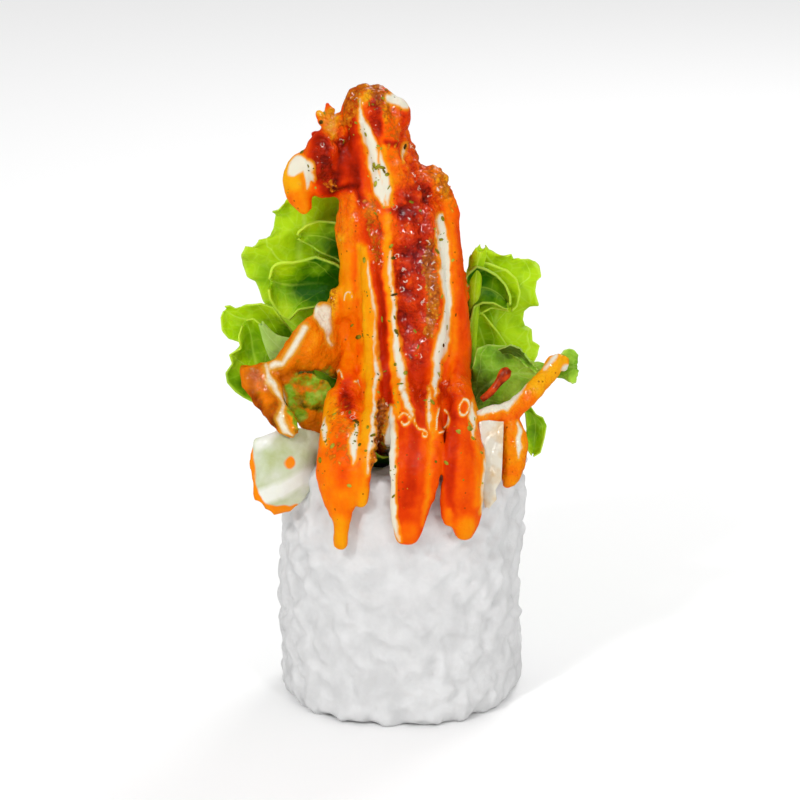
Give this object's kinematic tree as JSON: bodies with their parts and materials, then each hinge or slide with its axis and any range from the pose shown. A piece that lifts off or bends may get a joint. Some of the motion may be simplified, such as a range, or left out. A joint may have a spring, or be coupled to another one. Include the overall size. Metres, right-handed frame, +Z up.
{
  "type": "fried shrimp sushi roll",
  "caption": "Sushi roll standing on its cut end: rice round nori, a tall battered shrimp under spicy sauce and mayonnaise, and green lettuce.",
  "frame": {"origin": "centre of the cut end that the roll stands on", "axes": "+Z up along the roll and the shrimp, -Y towards the side that the sauce drips down, +X to the right seen from that side"},
  "size_m": [0.0636, 0.0496, 0.1121],
  "materials": {
    "rice": "moist, soft white cooked rice",
    "nori": "near-black dried seaweed sheet, slightly moist",
    "batter_and_sauce": "crisp crumb crust under glossy orange-red spicy sauce with stripes of white mayonnaise",
    "lettuce": "fresh thin green leaf, waxy, with pale veins",
    "sauced_lettuce": "green leaf coated with glossy sauce and mayonnaise",
    "pale_lettuce": "pale leaf heart under a thick film of mayonnaise"
  },
  "bodies": {
    "root": {"rice": "rice", "nori": "nori", "shrimp": "batter_and_sauce", "lettuce_left": "lettuce", "lettuce_right": "lettuce", "lettuce_left_sauced": "sauced_lettuce", "lettuce_right_sauced": "sauced_lettuce", "lettuce_heart": "pale_lettuce", "lettuce_front": "lettuce"}
  },
  "joints": []
}
